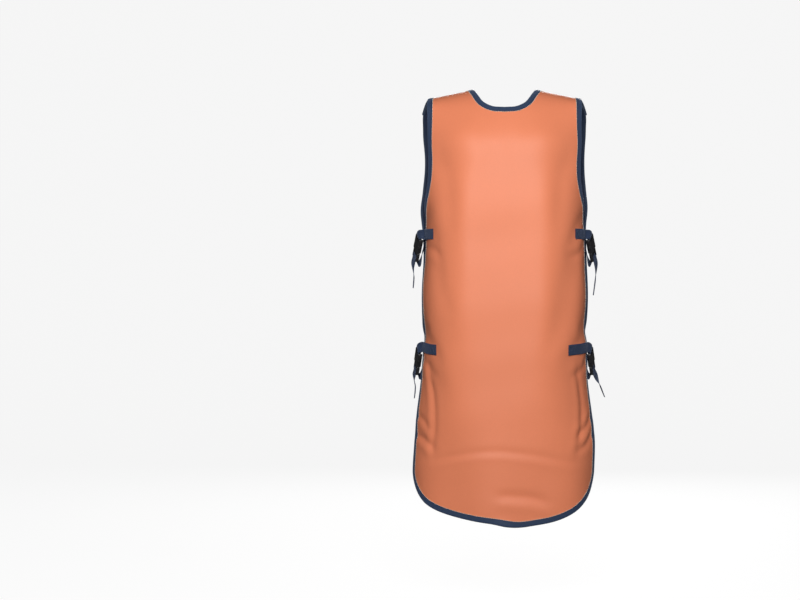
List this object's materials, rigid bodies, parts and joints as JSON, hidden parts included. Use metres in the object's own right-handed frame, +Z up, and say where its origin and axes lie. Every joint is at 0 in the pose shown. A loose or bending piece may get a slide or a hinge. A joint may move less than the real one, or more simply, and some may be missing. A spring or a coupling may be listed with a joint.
{
  "type": "lead apron",
  "caption": "Two-sided lead apron: curved front and back panels with bound edges, shoulder flaps, side straps and side-release buckles.",
  "frame": {"origin": "midway between the two shoulder rests, level with the shoulder crest at the neck, where the wearer's shoulders carry the apron", "axes": "+Z up, -Y to the front of the wearer, +X to the wearer's left"},
  "size_m": [0.4692, 0.2782, 1.023],
  "materials": {
    "coated_cover": "satin polyurethane-coated nylon, salmon orange",
    "lining": "matt coated nylon",
    "lead_vinyl": "matt lead-loaded vinyl",
    "binding": "ribbed woven binding tape",
    "hook_and_loop": "looped pile tape",
    "webbing": "woven nylon webbing",
    "buckle_plastic": "moulded acetal"
  },
  "bodies": {
    "apron": {"back_cover": "coated_cover", "back_edge_binding": "binding", "back_lead_core": "lead_vinyl", "back_lining": "lining", "back_neck_binding": "binding", "front_cover": "coated_cover", "front_edge_binding": "binding", "front_lead_ply_inner": "lead_vinyl", "front_lead_ply_outer": "lead_vinyl", "front_lining": "lining", "front_neck_binding": "binding", "left_shoulder_loop_tape": "hook_and_loop", "lower_left_back_strap": "webbing", "lower_left_buckle_female": "buckle_plastic", "lower_left_front_strap": "webbing", "lower_right_back_strap": "webbing", "lower_right_buckle_female": "buckle_plastic", "lower_right_front_strap": "webbing", "right_shoulder_loop_tape": "hook_and_loop", "upper_left_back_strap": "webbing", "upper_left_buckle_female": "buckle_plastic", "upper_left_front_strap": "webbing", "upper_right_back_strap": "webbing", "upper_right_buckle_female": "buckle_plastic", "upper_right_front_strap": "webbing"},
    "left_shoulder_flap": {"left_flap_armhole_binding": "binding", "left_flap_cover": "coated_cover", "left_flap_hook_tape": "hook_and_loop", "left_flap_lead_core": "lead_vinyl", "left_flap_lining": "lining", "left_flap_neck_binding": "binding"},
    "right_shoulder_flap": {"right_flap_armhole_binding": "binding", "right_flap_cover": "coated_cover", "right_flap_hook_tape": "hook_and_loop", "right_flap_lead_core": "lead_vinyl", "right_flap_lining": "lining", "right_flap_neck_binding": "binding"},
    "upper_left_buckle_male_half": {"upper_left_buckle_male": "buckle_plastic"},
    "upper_left_prong_a": {"upper_left_buckle_prong_a": "buckle_plastic"},
    "upper_left_prong_b": {"upper_left_buckle_prong_b": "buckle_plastic"},
    "upper_right_buckle_male_half": {"upper_right_buckle_male": "buckle_plastic"},
    "upper_right_prong_a": {"upper_right_buckle_prong_a": "buckle_plastic"},
    "upper_right_prong_b": {"upper_right_buckle_prong_b": "buckle_plastic"},
    "lower_left_buckle_male_half": {"lower_left_buckle_male": "buckle_plastic"},
    "lower_left_prong_a": {"lower_left_buckle_prong_a": "buckle_plastic"},
    "lower_left_prong_b": {"lower_left_buckle_prong_b": "buckle_plastic"},
    "lower_right_buckle_male_half": {"lower_right_buckle_male": "buckle_plastic"},
    "lower_right_prong_a": {"lower_right_buckle_prong_a": "buckle_plastic"},
    "lower_right_prong_b": {"lower_right_buckle_prong_b": "buckle_plastic"}
  },
  "joints": [
    {"name": "left_flap_lift", "type": "hinge", "parent": "apron", "child": "left_shoulder_flap", "pos_m": [0.13095, 0, -0.0057], "axis": [0.9798, 0, -0.1999], "range_deg": [0, 110]},
    {"name": "right_flap_lift", "type": "hinge", "parent": "apron", "child": "right_shoulder_flap", "pos_m": [-0.13095, 0, -0.0057], "axis": [0.9798, 0, 0.1999], "range_deg": [0, 110]},
    {"name": "upper_left_buckle_release", "type": "slide", "parent": "apron", "child": "upper_left_buckle_male_half", "axis": [0.1973, 0.5343, -0.822], "range_m": [0, 0.034], "deforming": ["upper_left_back_strap", "upper_left_buckle_prong_a", "upper_left_buckle_prong_b"]},
    {"name": "upper_left_prong_a_squeeze", "type": "hinge", "parent": "upper_left_buckle_male_half", "child": "upper_left_prong_a", "pos_m": [0.21286, 0.01371, -0.37565], "axis": [0.9381, -0.3464, 0], "range_deg": [0, 10.5], "stiffness_Nm_per_rad": 0.05},
    {"name": "upper_left_prong_b_squeeze", "type": "hinge", "parent": "upper_left_buckle_male_half", "child": "upper_left_prong_b", "pos_m": [0.20785, 0.00014, -0.38567], "axis": [0.9381, -0.3464, 0], "range_deg": [-10.5, 0], "stiffness_Nm_per_rad": 0.05},
    {"name": "upper_right_buckle_release", "type": "slide", "parent": "apron", "child": "upper_right_buckle_male_half", "axis": [-0.1973, 0.5343, -0.822], "range_m": [0, 0.034], "deforming": ["upper_right_back_strap", "upper_right_buckle_prong_a", "upper_right_buckle_prong_b"]},
    {"name": "upper_right_prong_a_squeeze", "type": "hinge", "parent": "upper_right_buckle_male_half", "child": "upper_right_prong_a", "pos_m": [-0.20785, 0.00014, -0.38567], "axis": [-0.9381, -0.3464, 0], "range_deg": [0, 10.5], "stiffness_Nm_per_rad": 0.05},
    {"name": "upper_right_prong_b_squeeze", "type": "hinge", "parent": "upper_right_buckle_male_half", "child": "upper_right_prong_b", "pos_m": [-0.21286, 0.01371, -0.37565], "axis": [-0.9381, -0.3464, 0], "range_deg": [-10.5, 0], "stiffness_Nm_per_rad": 0.05},
    {"name": "lower_left_buckle_release", "type": "slide", "parent": "apron", "child": "lower_left_buckle_male_half", "axis": [0.1472, 0.5562, -0.8179], "range_m": [0, 0.034], "deforming": ["lower_left_back_strap", "lower_left_buckle_prong_a", "lower_left_buckle_prong_b"]},
    {"name": "lower_left_prong_a_squeeze", "type": "hinge", "parent": "lower_left_buckle_male_half", "child": "lower_left_prong_a", "pos_m": [0.21133, 0.0117, -0.64745], "axis": [0.9667, -0.2559, 0], "range_deg": [0, 10.5], "stiffness_Nm_per_rad": 0.05},
    {"name": "lower_left_prong_b_squeeze", "type": "hinge", "parent": "lower_left_buckle_male_half", "child": "lower_left_prong_b", "pos_m": [0.20765, -0.00221, -0.65757], "axis": [0.9667, -0.2559, 0], "range_deg": [-10.5, 0], "stiffness_Nm_per_rad": 0.05},
    {"name": "lower_right_buckle_release", "type": "slide", "parent": "apron", "child": "lower_right_buckle_male_half", "axis": [-0.1472, 0.5562, -0.8179], "range_m": [0, 0.034], "deforming": ["lower_right_back_strap", "lower_right_buckle_prong_a", "lower_right_buckle_prong_b"]},
    {"name": "lower_right_prong_a_squeeze", "type": "hinge", "parent": "lower_right_buckle_male_half", "child": "lower_right_prong_a", "pos_m": [-0.20765, -0.00221, -0.65757], "axis": [-0.9667, -0.2559, 0], "range_deg": [0, 10.5], "stiffness_Nm_per_rad": 0.05},
    {"name": "lower_right_prong_b_squeeze", "type": "hinge", "parent": "lower_right_buckle_male_half", "child": "lower_right_prong_b", "pos_m": [-0.21133, 0.0117, -0.64745], "axis": [-0.9667, -0.2559, 0], "range_deg": [-10.5, 0], "stiffness_Nm_per_rad": 0.05}
  ],
  "couplings": [
    {"joint": "upper_left_prong_b_squeeze", "follows": "upper_left_prong_a_squeeze", "ratio": -1},
    {"joint": "upper_right_prong_b_squeeze", "follows": "upper_right_prong_a_squeeze", "ratio": -1},
    {"joint": "lower_left_prong_b_squeeze", "follows": "lower_left_prong_a_squeeze", "ratio": -1},
    {"joint": "lower_right_prong_b_squeeze", "follows": "lower_right_prong_a_squeeze", "ratio": -1}
  ]
}
